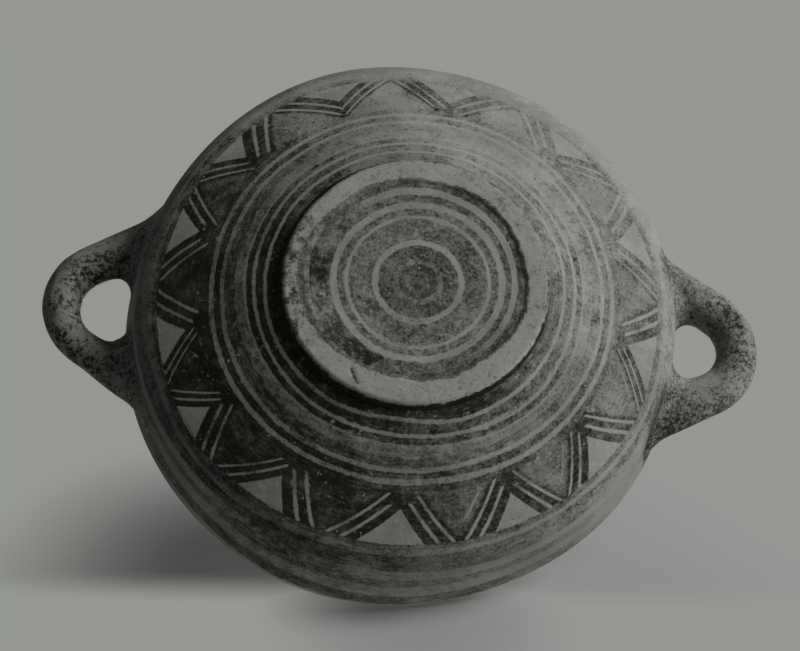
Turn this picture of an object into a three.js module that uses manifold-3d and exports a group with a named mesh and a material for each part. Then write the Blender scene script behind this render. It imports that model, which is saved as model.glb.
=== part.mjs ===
// Two-handled ceramic bowl on a low ring foot, in millimetres, +Z up.
// The origin is on the bowl's axis, level with the surface that the foot rests on.
// The handles lie along X: the right one on +X and the left one on -X.

import * as THREE from 'three';
import { mergeVertices } from 'three/addons/utils/BufferGeometryUtils.js';
import Module from 'manifold-3d';

const wasm = await Module();
wasm.setup();

const { degToRad } = THREE.MathUtils;

// Bowl: a shallow cone that turns up at a rounded shoulder into a steep upper wall
const RIM_RADIUS = 72.5;
const HEIGHT = 43.4;
const LOWER_WALL_RISE = degToRad(22);
const UPPER_WALL_LEAN = degToRad(7.7);
const WALL = 4.6;
const FLOOR = 6.5;
const SHOULDER_BEND = 9;
const FLOOR_BEND = 12;
const LIP_BEND = 2.1;

// Ring foot: a low flattened coil round a thick floor, which leaves a shallow recess inside the ring
const FOOT_RADIUS = 33.2;
const FOOT_WIDTH = 5.6;
const FOOT_HEIGHT = 2.5;
const RECESS_DEPTH = 1;
const FOOT_TAPER = 0.9;
const FOOT_EDGE_BEND = 0.8;

// Handles: a rolled coil bent into a loop, reaching out from the upper wall at a drop below the rim.
// Each loop sits a little towards +Y, by its swing round the bowl.
const HANDLE_REACH = 23.2;
const HANDLE_DROP = 11.4;
const RIGHT_SWING = degToRad(1.75);
const RIGHT_SPREAD = 37.2;
const RIGHT_COIL = 11.2;
const RIGHT_BEND = 12.8;
const LEFT_SWING = degToRad(0.3);
const LEFT_SPREAD = 39.4;
const LEFT_COIL = 10.5;
const LEFT_BEND = 13.2;
const HANDLES = [
  { side: 'right', turn: RIGHT_SWING, spread: RIGHT_SPREAD, coil: RIGHT_COIL, bend: RIGHT_BEND },
  { side: 'left', turn: Math.PI - LEFT_SWING, spread: LEFT_SPREAD, coil: LEFT_COIL, bend: LEFT_BEND },
];

// Collars: clay worked round each end of a coil and spread onto the wall
const COLLAR_LENGTH = 8;
const COLLAR_FLARE = 3;
const COLLAR_EDGE = 0.5;

// Gap left where one piece is luted to another
const SEAM = 0.3;

// Fineness of the round surfaces
const BOWL_SIDES = 72;
const COIL_SIDES = 14;
const COIL_STEPS = 34;
const COLLAR_SIDES = 28;
const COLLAR_STEPS = 6;
const BEND_FACET = degToRad(15);

// Finishes
const paintedClay = new THREE.MeshStandardMaterial({ color: 0x6d6e68, roughness: 0.82, metalness: 0 });
const footClay = new THREE.MeshStandardMaterial({ color: 0x8f918a, roughness: 0.88, metalness: 0 });
const handleClay = new THREE.MeshStandardMaterial({ color: 0x5b5c56, roughness: 0.84, metalness: 0 });

// Points of the arc that rounds one corner of a profile
function cornerArc(before, corner, after, bend) {
  const back = before.clone().sub(corner).normalize();
  const ahead = after.clone().sub(corner).normalize();
  const opening = Math.acos(back.dot(ahead));
  const sweep = Math.PI - opening;
  const centre = back.clone().add(ahead).setLength(bend / Math.sin(opening / 2)).add(corner);
  const start = back.clone().multiplyScalar(bend / Math.tan(opening / 2)).add(corner);
  const direction = -Math.sign(back.cross(ahead));
  const steps = Math.ceil(sweep / BEND_FACET);
  return Array.from({ length: steps + 1 }, (_, i) =>
    start.clone().rotateAround(centre, (direction * sweep * i) / steps));
}

// Profile through corners given as [radius, height, bend], with the bends rounded
function roundedProfile(corners) {
  const points = corners.map(([radius, height]) => new THREE.Vector2(radius, height));
  return corners.flatMap(([, , bend], i) => {
    const before = points.at(i - 1);
    const after = points[(i + 1) % points.length];
    return bend ? cornerArc(before, points[i], after, bend) : [points[i].clone()];
  });
}

// Body turned round +Z from a profile of radius and height
function turned(profile, sides) {
  return new THREE.LatheGeometry(profile, sides).rotateX(Math.PI / 2);
}

function solidOf(geometry) {
  const bare = geometry.clone();
  bare.deleteAttribute('normal');
  bare.deleteAttribute('uv');
  const merged = mergeVertices(bare);
  const corners = merged.index.array;
  const triangles = [];
  for (let i = 0; i < corners.length; i += 3) {
    const [a, b, c] = corners.slice(i, i + 3);
    if (a !== b && b !== c && c !== a) triangles.push(a, b, c);
  }
  const vertProperties = new Float32Array(merged.attributes.position.array);
  const triVerts = new Uint32Array(triangles);
  return new wasm.Manifold(new wasm.Mesh({ numProp: 3, vertProperties, triVerts }));
}

function geometryOf(solid) {
  const { vertProperties, triVerts } = solid.getMesh();
  const geometry = new THREE.BufferGeometry();
  geometry.setAttribute('position', new THREE.BufferAttribute(vertProperties, 3));
  geometry.setIndex(new THREE.BufferAttribute(triVerts, 1));
  geometry.computeVertexNormals();
  return geometry;
}

function piece(name, geometry, material) {
  const mesh = new THREE.Mesh(geometry, material);
  mesh.name = name;
  return mesh;
}

// The wall's outer face runs in two straight lines, which can be set out from it by a distance
const footTop = new THREE.Vector2(FOOT_RADIUS + FOOT_TAPER, FOOT_HEIGHT);
const lowerRun = new THREE.Vector2(Math.cos(LOWER_WALL_RISE), Math.sin(LOWER_WALL_RISE));
const upperRun = new THREE.Vector2(Math.sin(UPPER_WALL_LEAN), Math.cos(UPPER_WALL_LEAN));

// Radius of the lower wall at a height, and of the upper wall at a height
function lowerRadius(height, setOut = 0) {
  return footTop.x + (height - footTop.y) / Math.tan(LOWER_WALL_RISE) + setOut / Math.sin(LOWER_WALL_RISE);
}

function upperRadius(height, setOut = 0) {
  return RIM_RADIUS - (HEIGHT - height) * Math.tan(UPPER_WALL_LEAN) + setOut / Math.cos(UPPER_WALL_LEAN);
}

// Where the two lines meet, as a [radius, height, bend] corner
function shoulder(setOut = 0) {
  const gap = upperRadius(0, setOut) - lowerRadius(0, setOut);
  const height = gap / (lowerRun.x / lowerRun.y - upperRun.x / upperRun.y);
  return [upperRadius(height, setOut), height, SHOULDER_BEND + setOut];
}

function bowlBody() {
  const floorTop = RECESS_DEPTH + FLOOR;
  const floorEdge = FOOT_RADIUS - FOOT_WIDTH - SEAM;
  const profile = roundedProfile([
    [0, RECESS_DEPTH],
    [floorEdge, RECESS_DEPTH],
    [floorEdge, FOOT_HEIGHT],
    [footTop.x, footTop.y],
    shoulder(),
    [RIM_RADIUS, HEIGHT, LIP_BEND],
    [upperRadius(HEIGHT, -WALL), HEIGHT, LIP_BEND],
    shoulder(-WALL),
    [lowerRadius(floorTop, -WALL), floorTop, FLOOR_BEND],
    [0, floorTop],
  ]);
  return piece('bowl_body', turned(profile, BOWL_SIDES), paintedClay);
}

function footRing() {
  const inner = FOOT_RADIUS - FOOT_WIDTH;
  const top = FOOT_HEIGHT - SEAM;
  const profile = roundedProfile([
    [inner, top],
    [inner, 0, FOOT_EDGE_BEND],
    [FOOT_RADIUS, 0, FOOT_EDGE_BEND],
    [FOOT_RADIUS + FOOT_TAPER, top],
  ]);
  const closed = [...profile, profile[0]];
  return piece('foot_ring', turned(closed, BOWL_SIDES), footClay);
}

// Everything within the wall's outer face, set out by the seam, to trim what is luted to the wall
function wallEnvelope() {
  const profile = roundedProfile([
    [0, FOOT_HEIGHT],
    [lowerRadius(FOOT_HEIGHT, SEAM), FOOT_HEIGHT],
    shoulder(SEAM),
    [upperRadius(HEIGHT, SEAM), HEIGHT],
    [0, HEIGHT],
  ]);
  return solidOf(turned(profile, BOWL_SIDES));
}

// The handles' level, on the upper wall
const handleLevel = HEIGHT - HANDLE_DROP;

// A loop's middle line seen from above: two straight legs and the arc that joins them
function loopLayout({ spread, coil, bend }) {
  const wallRadius = upperRadius(handleLevel);
  const rootTurn = Math.asin(spread / 2 / wallRadius);
  const root = new THREE.Vector2(wallRadius, 0).rotateAround(new THREE.Vector2(), rootTurn);
  const centre = new THREE.Vector2(wallRadius + HANDLE_REACH - coil / 2 - bend, 0);
  const fromCentre = root.clone().sub(centre);
  const arcEnd = fromCentre.angle() - Math.acos(bend / fromCentre.length());
  const legEnd = new THREE.Vector2(bend, 0).rotateAround(new THREE.Vector2(), arcEnd).add(centre);
  const legRun = legEnd.clone().sub(root).normalize();
  return { root, rootTurn, centre, arcEnd, legEnd, legRun };
}

// A coil along a loop, its ends running into the wall by the wall's thickness
function loopCoil(handle, setOut = 0) {
  const { root, centre, arcEnd, legEnd, legRun } = loopLayout(handle);
  const inside = root.clone().addScaledVector(legRun, -WALL);
  const line = new THREE.Path();
  line.moveTo(inside.x, -inside.y);
  line.lineTo(legEnd.x, -legEnd.y);
  line.absarc(centre.x, centre.y, handle.bend, -arcEnd, arcEnd);
  line.lineTo(inside.x, inside.y);
  const route = line.getSpacedPoints(COIL_STEPS).map(({ x, y }) => new THREE.Vector3(x, y, handleLevel));
  const radius = handle.coil / 2 + setOut;
  const section = new THREE.Shape().absarc(0, 0, radius, 0, 2 * Math.PI);
  return new THREE.ExtrudeGeometry(section, {
    steps: COIL_STEPS,
    curveSegments: COIL_SIDES / 2,
    bevelEnabled: false,
    extrudePath: new THREE.CatmullRomCurve3(route),
  });
}

// A flared cuff round one root: its rings lie along the wall there and follow the leg as it leans
function collarCuff(handle, sign) {
  const { root, rootTurn, legRun } = loopLayout(handle);
  const edge = handle.coil / 2 + SEAM + COLLAR_EDGE;
  const spread = new THREE.Vector2(edge + COLLAR_FLARE, 0);
  const turnIn = new THREE.Vector2(edge, COLLAR_LENGTH / 3);
  const end = new THREE.Vector2(edge, COLLAR_LENGTH);
  const flare = new THREE.QuadraticBezierCurve(spread, turnIn, end).getPoints(COLLAR_STEPS);
  const profile = [
    new THREE.Vector2(0, -WALL),
    new THREE.Vector2(spread.x, -WALL),
    ...flare,
    new THREE.Vector2(0, COLLAR_LENGTH),
  ];
  const lean = rootTurn - Math.atan2(legRun.y, legRun.x);
  const follow = new THREE.Matrix4().makeShear(-sign * Math.tan(lean), 0, 0, 0, 0, 0);
  return turned(profile, COLLAR_SIDES)
    .rotateY(Math.PI / 2)
    .scale(1, 1 / Math.cos(lean), 1)
    .applyMatrix4(follow)
    .rotateZ(sign * rootTurn)
    .translate(root.x, sign * root.y, handleLevel);
}

// One handle with its two collars, built on +X and turned to its side
function handleGroup(handle, envelope) {
  const group = new THREE.Group();
  const coil = solidOf(loopCoil(handle)).subtract(envelope);
  group.add(piece(`handle_${handle.side}`, geometryOf(coil), handleClay));
  const coilSpace = solidOf(loopCoil(handle, SEAM));
  for (const sign of [-1, 1]) {
    const isFront = sign * Math.cos(handle.turn) < 0;
    const name = `${handle.side}_${isFront ? 'front' : 'back'}_root_collar`;
    const collar = solidOf(collarCuff(handle, sign)).subtract(envelope).subtract(coilSpace);
    group.add(piece(name, geometryOf(collar), handleClay));
  }
  group.rotation.z = handle.turn;
  return group;
}

const bowl = new THREE.Group();
const envelope = wallEnvelope();
bowl.add(bowlBody(), footRing());
for (const handle of HANDLES) bowl.add(handleGroup(handle, envelope));

export default bowl;
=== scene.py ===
import math

import bpy
import numpy as np
from mathutils import Matrix, Vector


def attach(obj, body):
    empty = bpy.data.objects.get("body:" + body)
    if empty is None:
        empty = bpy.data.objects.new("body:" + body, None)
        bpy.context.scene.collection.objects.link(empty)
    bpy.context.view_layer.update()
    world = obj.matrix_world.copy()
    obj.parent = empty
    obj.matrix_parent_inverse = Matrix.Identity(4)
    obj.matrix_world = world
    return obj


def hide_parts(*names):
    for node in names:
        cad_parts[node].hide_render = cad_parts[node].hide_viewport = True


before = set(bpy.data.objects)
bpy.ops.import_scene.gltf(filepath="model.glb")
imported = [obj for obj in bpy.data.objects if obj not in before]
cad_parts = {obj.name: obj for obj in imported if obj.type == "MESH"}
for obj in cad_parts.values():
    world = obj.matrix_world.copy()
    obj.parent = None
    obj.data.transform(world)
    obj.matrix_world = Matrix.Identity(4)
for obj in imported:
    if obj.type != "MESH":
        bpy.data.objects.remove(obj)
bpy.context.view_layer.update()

# A two-handled painted clay bowl. Sizes are in millimetres, and meshes are made in metres.
MM = 0.001

# Bowl: a shallow cone that turns up at a rounded shoulder into a steep upper wall
RIM_RADIUS = 72.5
HEIGHT = 43.4
LOWER_WALL_RISE = math.radians(22)
UPPER_WALL_LEAN = math.radians(7.7)
WALL = 4.6
FLOOR = 6.5
SHOULDER_BEND = 9.0
FLOOR_BEND = 12.0
LIP_BEND = 2.1

# Ring foot, and the shallow recess inside it
FOOT_RADIUS = 33.2
FOOT_WIDTH = 5.6
FOOT_HEIGHT = 2.5
FOOT_TAPER = 0.9
FOOT_INNER_BEND = 1.4
FOOT_INNER_SLOPE = 1.5
FOOT_OUTER_BEND = 1.4
FOOT_SUNK = 0.4
FOOT_TOP = (FOOT_RADIUS + FOOT_TAPER, FOOT_HEIGHT)
WALL_START = FOOT_TOP[0]
RECESS_DEPTH = 1.0
RECESS_EDGE = 0.5
RECESS_FLAT = 20.0
RECESS_TUCK = 1.2

# Handles. Places along one run from -1 at a root past 0 at its outer end to 1 at the other root. A slimmer
# stretch is an amount, a middle and a half width along it. Swells are layers of unevenness, as given below.
HANDLE_REACH = 23.2
HANDLE_DROP = 11.4
HANDLES = {
    "right": {
        "turn": math.radians(1.75), "spread": 37.2, "coil": 11.2, "bend": 12.8,
        "fillets_out": (3.0, 4.6), "slimmer": (0.0, 0.0, 1.0),
        "swells": [(0.02, 20, 3, 0.35), (0.01, 21, 9, 1.2)],
    },
    "left": {
        "turn": math.pi - math.radians(0.3), "spread": 39.4, "coil": 10.5, "bend": 13.2,
        "fillets_out": (4.6, 3.2), "slimmer": (0.13, -0.45, 0.35),
        "swells": [(0.02, 30, 3, 0.35), (0.01, 31, 9, 1.2)],
    },
}
SWELL_LENGTH = 30.0
SWELL_FADE = (0.6, 0.85)
ROOT_FILLET_IN = 8.0
ROOT_FILLET_UP = 3.2
ROOT_FILLET_ROOM = 1.0
ROOT_TURNED = 0.25
ROOT_SUNK = 0.35

# Hand-made unevenness, in layers: amount, seed, most lobes round the surface and fastest waves along it.
# Swells of the wall are a middle and half width in degrees, an amount, and the heights they begin and end at.
RIPPLE_WAVES = 14
OVALITY = 0.0145
OVAL_TURN = math.radians(-30)
SWELLS = [(-115, 42, 1.6, 8, 16), (-86, 48, 0.8, 12, 20), (34, 42, 0.9, 22, 34), (102, 50, 1.1, 22, 34)]
LIP_WOBBLE = [(0.3, 5, 4, 0)]
LIP_WOBBLE_FROM = 30
SKIN_WOBBLE = [(0.06, 3, 9, 0.5)]
SKIN_WOBBLE_RADII = (2, 20)
WHEEL_RIDGE = 0.14
WHEEL_PITCH = 5.2
WHEEL_FADE = 4
FOOT_DENTS = [(0.05, 11, 14, 0.8), (0.03, 12, 50, 2.4)]
FOOT_DENT_LIFT = 0.8
FOOT_EDGE_WANDER = [(0.22, 13, 6, 0), (0.1, 14, 40, 0)]
# Where the ring's edges shift inwards: by how much, and the middle and half width of that side in degrees
FOOT_INNER_SHIFTS = [(0.9, 90, 75), (-0.5, 8, 48)]
FOOT_OUTER_SHIFT = (0.7, -140, 75)
# A crack across the ring: points along it, half width and depth
CRACK = [(-15.1, 24.6), (-14.6, 26.2), (-13.6, 28.4)]
CRACK_HALF_WIDTH = 0.3
CRACK_DEPTH = 0.35

# Fineness of the meshes, and of the search for the skin of a root
PROFILE_STEP = 0.74
COLUMN_DEGREES = 1.0
LEAST_COLUMNS = 5
FOOT_STEP = 0.35
FOOT_COLUMNS = 420
COIL_SIDES = 56
COIL_STEP = 0.8
ROOT_RINGS = 18
SEARCH_STEPS = 40
SEARCH_REACH = 4.0

# Painted triangles: apex, left and right foot in degrees round the bowl, then apex and base up the wall
TRIANGLES = [
    (-165.7, -172.2, -160.3, 24.0, 31.0),
    (-140.8, -146.3, -136.5, 25.0, 31.2),
    (-110.7, -118.0, -104.0, 25.8, 31.0),
    (-81.5, -89.0, -74.0, 23.8, 30.8),
    (-49.2, -55.0, -42.0, 23.7, 30.0),
    (-19.2, -24.8, -11.2, 22.8, 31.2),
    (10.0, 4.6, 18.5, 23.5, 32.0),
    (37.7, 33.0, 44.5, 24.8, 33.0),
    (62.9, 58.2, 69.5, 25.0, 33.0),
    (91.3, 85.5, 100.0, 24.2, 32.7),
    (121.7, 117.0, 129.0, 25.0, 33.0),
    (146.3, 142.3, 151.0, 25.7, 33.2),
    (167.0, 160.8, 172.0, 24.7, 31.8),
]
EDGE = 0.028
# The pattern is shifted so that all bases lie at one level: where the shift sets in and where it ends
BASE_LEVEL = 33.0
BASE_FADE = 0.15
BASE_SHIFT_FROM = (24, 30)
BASE_SHIFT_TO = (31.5, 38.5)

# Light lines beside each triangle: place between its edge and the next one's, half width, upper end up the
# wall, and how far that end slips from triangle to triangle
FLANK_LINES = [(0.42, 0.063, 22.6, 0.6), (0.83, 0.058, 20.9, -0.9)]
LINE_END_FADE = 0.3
LINE_END_SEED = 7
# A third line beside some triangles, given the same way, and the triangles that have one on their right
THIRD_LINE = (1.3, 0.05, 21.6, 0.4)
THIRD_LINE_END = (28.5, 27.5)
THIRD_LINE_AT = [6, 7, 8]
THIRD_LINE_SHARE = 0.8
# A triangle whose lines on its right stand closer together: its number, and the share of the usual spacing
CLOSE_LINES = (6, 0.75)
# Lines fainter away from the key lamp, partly painted shade: by how much, middle and half width in degrees
FAINT_AND_SHADED_LINES = (0.38, 176, 80)
# Beside a triangle: where the stripes between its lines begin and end, where the field begins, and far off
STRIPES_FROM = (-0.03, 0.03)
STRIPES_TO = (1.12, 0.98)
FIELD_FROM = (0.98, 1.15)
FAR_OFF = 9.0

# Painted bands as start, end and how much paint covers them: under the floor by radius, then up the wall
BARE = 0.0
FLOOR_BANDS = [
    (0.0, 2.0, 0.74), (2.0, 3.0, 0.6), (3.0, 4.8, 0.74), (4.8, 6.2, 0.5), (6.2, 10.0, 0.66),
    (10.0, 11.4, BARE), (11.4, 17.3, 0.56), (17.3, 18.1, BARE), (18.1, 20.1, 0.58),
    (20.1, 21.7, BARE), (21.7, 25.0, 0.62), (25.0, 27.6, 0.66),
]
LOWER_BANDS = [
    (2.95, 3.8, BARE), (6.1, 6.9, BARE), (8.6, 9.2, 0.3), (9.2, 11.6, 0.62), (11.6, 14.45, 0.85),
    (14.45, 15.4, BARE), (17.3, 18.35, BARE),
]
UPPER_BANDS = [
    (33.2, 34.5, 0.8), (34.5, 35.7, 0.3), (35.7, 42.4, 0.85), (42.4, 46.8, 0.1), (46.8, 50.6, 0.74),
    (50.6, 55.6, 0.1), (55.6, 61.5, 0.85), (61.5, 70.0, 0.1),
]
LOWER_END = 20.0
UPPER_END = 70.0
BAND_FADE = 0.42
UPPER_BAND_FADE = 0.7
SEAM = 0.05
FIELD_FADE = 0.3
LIP_FADE = 0.6
# How far the upper bands slip down: degrees, slip of the line next to the triangles, and of the bands above
BAND_SLIPS = [
    (90, 0, 0), (115, 0, 1.5), (130, -1.4, 3), (145, -0.8, 3), (160, 0, 2.5), (172, -1, 3), (188, -1, 3),
    (210, 0, 0),
]
BAND_SLIP_FROM = (33.1, 35)
BAND_SLIP_TURNS = (36.5, 41)
# Where rings of the lower wall slip up it: how far, middle and half width in degrees, and the places up the
# wall where the slip begins, is full and ends
RING_SLIPS = [
    (-1.2, 95, 30, 0, 1, 3.5), (0.5, 158, 28, 0, 2, 4), (-0.5, 95, 35, 4.5, 5.5, 8),
    (1.0, 42, 40, 6, 7.6, 11), (-0.6, 72, 45, 12, 14, 16), (0.35, 140, 40, 12, 14, 19),
    (-0.4, -20, 45, 12, 14, 19), (-0.5, 84, 22, 16, 17, 19),
]
RING_SLIP_FADE = 2.0
# The rings of the lower wall drift to one side, and those of the recess have a centre of their own
RING_DRIFT = 0.35
RING_DRIFT_TURN = math.radians(20)
RING_DRIFT_FROM = (0, 2)
RING_DRIFT_TO = (19, 22)
RECESS_CENTRE = (0.5, 0.35)
RECESS_CENTRE_TO = (21, 26)
# A broken ring near the foot's inner edge: start and end, and the middle and half width of its stretch
BROKEN_RING = (23.6, 25.3)
BROKEN_RING_STRETCH = (-40, 97)
BROKEN_RING_POWER = 0.3
BROKEN_RING_FADE = 0.1

# Where the paint is rubbed thin, and lightened as painted sheen: degrees round the bowl and the amount there,
# on the lower wall and the upper one. The sheen is painted on the side towards the key lamp.
LOWER_WEAR_AND_SHEEN = [
    (-150, 0.22), (-120, 0.47), (-90, 0.64), (-60, 0.69), (-30, 0.61), (0, 0.475), (30, 0.425), (60, 0.33),
    (90, 0.24), (112, 0.08), (180, 0.05),
]
LOWER_WEAR_AND_SHEEN_FROM = (-6, 0)
UPPER_WEAR_AND_SHEEN = [
    (-172, 0.45), (-160, 0.55), (-150, 0.8), (-120, 0.64), (-90, 0.9), (-60, 0.94), (-30, 0.92), (-18, 0.86),
    (0, 0.6), (10, 0.62), (30, 0.88), (40, 0.84), (50, 0.52), (60, 0.5), (70, 0.4), (80, 0.34), (105, 0.15),
    (135, 0.14), (160, 0.34), (172, 0.5), (180, 0.58),
]
UPPER_WEAR_AND_SHEEN_FROM = (30, 33.5)
# How much higher up the wall the upper wear and painted sheen begin, by degrees
WEAR_AND_SHEEN_TURNS = [
    (-150, 4.5), (-135, 3), (-120, 0.8), (-60, 0), (-25, 0.5), (-12, 3), (0, 3.5), (10, 2.5), (30, 6),
    (40, 7), (60, 4), (90, 0.3), (120, 1.5), (180, 3),
]
# Share of the wear and painted sheen that lightens the field between the triangles
FIELD_WEAR_AND_SHEEN = 0.48
# Wear and painted sheen of the dark stripes beside the triangles, as a share of that round them, by degrees
STRIPE_WEAR_AND_SHEEN = [
    (-150, 0.45), (-105, 0.5), (-95, 0.6), (-78, 0.7), (-60, 0.8), (-45, 0.98), (-30, 1.06), (-18, 1.04),
    (-8, 0.9), (5, 0.75), (20, 0.8), (40, 0.6), (90, 0.45),
]
# One side keeps more paint high on the wall: how much, middle and half width in degrees
SHELTERED = (0.4, -88, 70)
SHELTERED_FROM = (37, 42)
# Paint kept round the right handle's roots: share, middle and half width in degrees, and how far down
ROOT_STAINS = [(1.0, 19.5, 10.5, 16.5), (0.84, -12.5, 10, 17)]
ROOT_STAIN_FADE = (0.6, 1.05)
ROOT_LEVEL = 50.0
# Less wear beside the foot on one side, so the wall is darker there: share, and middle and half width in
# degrees
FOOT_SIDE_DARKENING = (0.65, 66, 48)
FOOT_SIDE_DARKENING_FADE = (2, 4)
# Paint rubbed off the upper wall, given the same way, and the places up it where that begins and is full
EXTRA_WEAR = [(0.4, 158, 26, 51, 56), (0.4, 181, 13, 39, 42)]
# Light bands that keep some paint, mostly on the side away from the key lamp, where it is partly painted
# shade:
# start and end up the wall, least cover, middle and half width in degrees
WALL_DIMS_AND_SHADE = [
    (2.0, 5.3, 0.48, 108, 95), (5.3, 7.6, 0.32, 108, 95), (7.6, 16.4, 0.48, 108, 95),
    (16.4, 22.0, 0.55, 100, 75), (5.3, 7.6, 0.45, -165, 45), (13.5, 19.0, 0.58, 182, 70),
    (16.4, 22.0, 0.45, -155, 40), (32.5, 36.5, 0.55, 180, 85), (33.9, 36.4, 0.62, 98, 38),
    (33.5, 57.0, 0.58, 108, 60), (38.0, 48.5, 0.85, 114, 38), (31.6, 34.3, 0.88, -146, 38),
]
# The same under the floor, by radius
FLOOR_DIMS_AND_SHADE = [
    (9.6, 11.8, 0.35, 95, 55), (16.9, 18.5, 0.4, 95, 45), (19.8, 21.9, 0.3, 45, 35),
    (22.0, 28.0, 0.85, 120, 65), (21.9, 28.0, 0.8, 178, 50),
]
DIM_FADE = 0.2

# Paint of the foot: where it runs up from the recess, and the side that has lost most of its outer paint
FOOT_PAINT_RUN = (1.8, 175, 60)
FOOT_BARE_SIDE = (-40, 75)
FOOT_BARE_FULL = 0.8
# The bare side's outer face keeps a little paint, which also darkens that lit face as painted shade
FOOT_BARE_COVER_AND_SHADE = 0.33
FOOT_INNER_EDGE = (0.55, -0.15)
FOOT_INNER_COVER = (0.7, 0.66)
FOOT_ACROSS = (-34.0, 10.0)
FOOT_OUTER_EDGE = (-0.2, 0.3)
FOOT_OUTER_RAGGED = 0.3
# Painted shade dulls the lit outer corner of the bare side, and a stain darkens one end of the foot
FOOT_SHADED_EDGE = (-1.1, -0.3)
FOOT_SHADED_SIDE = (0.02, 0.35, 0.55)
FOOT_STAINED_END = (-21.0, -29.0, 0.74)
FOOT_PALE = 0.42

# Wear of the handles by place along them. Across a coil, side is 1 outside the loop and -1 towards its hole,
# and rise is 1 on top. The right one keeps a dark patch. Its sides are an amount, where
# that sets in across the coil and where along it.
HANDLE_ROOTS = (0.55, 0.9)
HANDLE_COVER = (0.95, 0.9)
RIGHT_RUBBED = 0.605
RIGHT_DARK = 0.28
RIGHT_DARK_SIDE = (0.1, 0.4)
RIGHT_DARK_RUN = [(-0.7, 0.4), (-0.4, 1.0), (-0.05, 1.0), (0.35, 0.0)]
RIGHT_SIDES = [(-0.1, (0.1, 0.8), (0.05, 0.3)), (0.17, (0, -0.8), (0.15, 0.4))]
RIGHT_ROOTS_KEPT = (0.08, 0.36)
RIGHT_FLECKED = 0.62
RIGHT_ROOT_FLECKS = 0.3
# The left one has a bare strip that winds round it, and a bare outer side
LEFT_RUBBED_RUN = [(-1, 0.45), (-0.4, 0.5), (0, 0.43), (0.5, 0.44), (1, 0.48)]
LEFT_STRIP = 0.31
LEFT_STRIP_WIDTH = 0.55
LEFT_STRIP_SIDE = [(-0.7, -0.6), (-0.3, -0.45), (0, 0.25), (0.3, 0.55), (0.7, 0.6)]
LEFT_STRIP_RISE = (0.5, -0.4)
LEFT_STRIP_RUN = [(-0.95, 0), (-0.65, 0.8), (-0.4, 1.1), (0.5, 1), (0.8, 0.7), (1, 0.3)]
LEFT_OUTER = 0.17
LEFT_OUTER_SIDE = (0.2, 0.8)
LEFT_OUTER_RUN = [(-0.7, 0), (-0.4, 1), (0.3, 0.8), (0.7, 0.5), (0.9, 0)]
LEFT_FLECKED = 1.1
LEFT_ROOT_FLECKS = 0.6
LEFT_KEPT_FLECKS = 0.6
LEFT_FLECKS_RANGE = (1, 2)

# Noise: size of a feature, detail and, where it isn't 0.5, roughness
FINE = (0.7, 2.0, 0.6)
BLOTCH = (2.2, 3.0, 0.62)
PATCH = (9.0, 3.0, 0.55)
DIM_GRAIN = (2.6, 4.0, 0.65)
# Noise that sways about 0: how far, then the same
DRIFT = (0.5, 20.0, 1.0)
RAGGED = (0.4, 1.3, 3.0, 0.6)
BRUSH_STREAKS = (0.35, 0.6, 2.0)
FOOT_RAGGED = (1.9, 2.2, 4.0, 0.68)
HANDLE_FLECKS = (2.5, 1.4, 5.0, 0.72)
HANDLE_STREAKS = (1.1, 4.0, 3.0, 0.6)
# Steps: where one begins and is full, and the most that it reaches where that isn't 1
PALE = (0.48, 0.68, 0.65)
STAINED = (0.52, 0.34, 0.55)
THIN = (0.55, 0.75, 0.5)
THICK_COVER = (0.6, 1.0)
THICK_PATCH = (0.25, 0.6)
STREAKED_COVER = (0.2, 0.5)
# Specks: noise, and its step
MOTTLE = ((14.0, 4.0, 0.6), (0.35, 0.68))
PITS = ((0.8, 2.0, 0.7), (0.64, 0.72))
LINE_GAPS = ((7.0, 2.0), (0.3, 0.52))
CHIPS = ((1.2, 1.5), (0.64, 0.74))
CHIP_CLUSTERS = ((13.0, 2.0), (0.42, 0.6))
FOOT_STAINS = ((3.6, 4.0, 0.7), (0.38, 0.62))
FOOT_GRIME = [((0.9, 3.0, 0.7), (0.5, 0.68, 0.34)), ((3.4, 4.0, 0.65), (0.45, 0.7, 0.3))]
# How far the fine grain, blotches and patches wear the paint, and the share of that on whole paint
WEAR_GRAIN = (0.6, 0.55, 0.35)
WHOLE_GRAIN = 0.45
BARED_FULLY = 0.5
FLANK_RAGGED = 0.09
FLANK_DRIFT = 0.07
LINE_GAPS_LEAST = 0.45
DIM_RANGE = (0.3, 0.7, 0.6, 1.35)
CHIP_DEPTH = 0.68
PIT_SHARE = 0.6
# Brush streaks run round the bowl, so many millimetres to the radian
STREAK_TURN = 9.0
STREAK_LEAST_RADIUS = 1.0

# Colours, as light reflected, and the finish of clay and of paint
CLAY = (0.272, 0.278, 0.252)
CLAY_PALE = (0.335, 0.34, 0.312)
CLAY_STAINED = (0.19, 0.194, 0.172)
PAINT = (0.0128, 0.0131, 0.0092)
PAINT_THIN = (0.0305, 0.0312, 0.0236)
ROUGHNESS = (0.9, 0.66)
GLOSS = (0.25, 0.04)
BUMP_STRENGTH = 0.4
BUMP_DEPTH = 0.25
BUMP_FINE = 0.6
BUMP_BLOTCH = 0.5
BUMP_PITS = 0.5

# Camera: where it stands, what lies behind it and what is up, in the bowl's frame
CAMERA_AT = (-42.129, 193.433, -454.395)
CAMERA_BACK = (-0.07825, 0.36828, -0.92642)
CAMERA_UP = (-0.06271, -0.92924, -0.36411)
LENS = 90.0
SENSOR = 36.0
CLIP_START = 0.01

# Lamps: direction, then distance and size in metres, and watts
LAMPS = {
    "key": ((0.77, -0.34, -0.54), 0.9, 0.55, 10.15),
    "top": ((0.15, -0.3, 1.0), 1.0, 0.6, 7.0),
    "bounce": ((0.35, 0.87, 0.35), 0.7, 0.5, 1.6),
}
AMBIENT = (0.085, 0.085, 0.085)
BACKDROP = (0.3, 0.31, 0.292)
STAGE = (0.4, 0.4, 0.4)

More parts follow.
